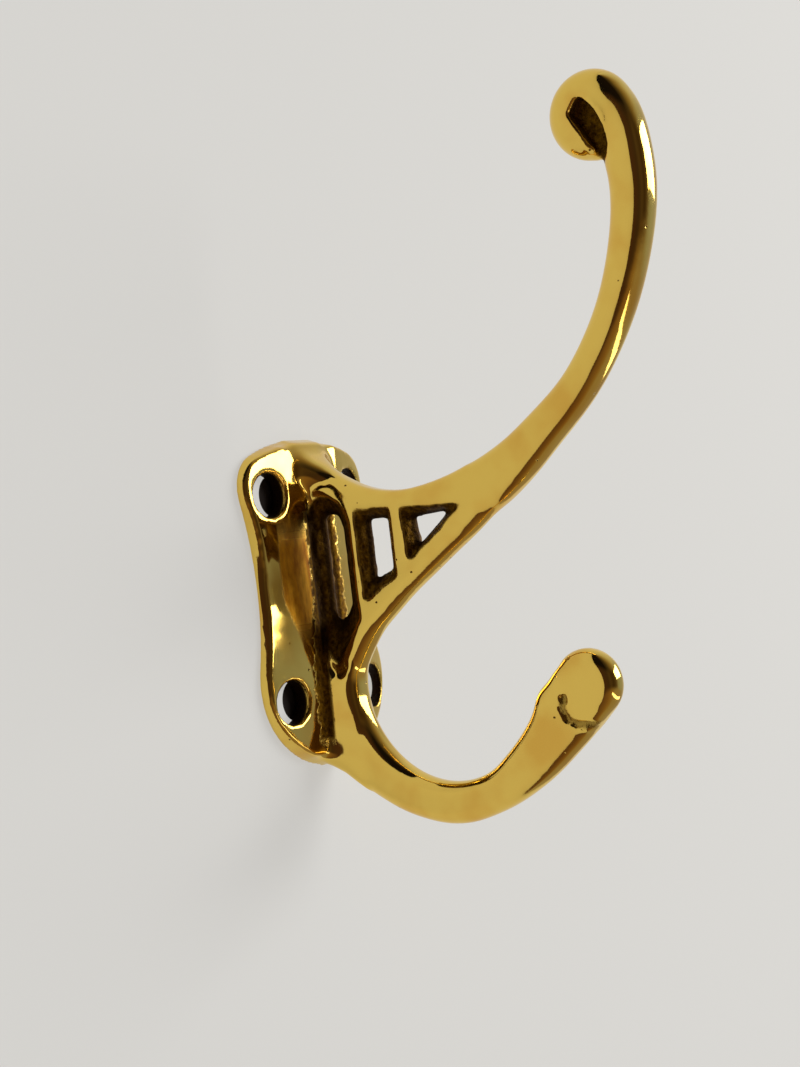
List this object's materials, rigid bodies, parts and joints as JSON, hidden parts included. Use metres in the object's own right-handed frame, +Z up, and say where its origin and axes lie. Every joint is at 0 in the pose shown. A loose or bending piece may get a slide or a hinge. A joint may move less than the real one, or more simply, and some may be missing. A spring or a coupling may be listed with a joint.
{
  "type": "double robe hook",
  "caption": "Double robe hook cast in one piece: a long upper arm ending in a curl, a lower hook, a pierced web and a screw plate.",
  "frame": {"origin": "on the wall plane, at the middle of the four screw holes in the plate's back", "axes": "+X across the plate, +Y into the wall, +Z up the wall; the arms stand out towards -Y"},
  "size_m": [0.0302, 0.0632, 0.101],
  "materials": {
    "cast_brass": "polished casting, rough in the windows and the grooves"
  },
  "bodies": {
    "root": {"hook_casting": "cast_brass"}
  },
  "joints": []
}
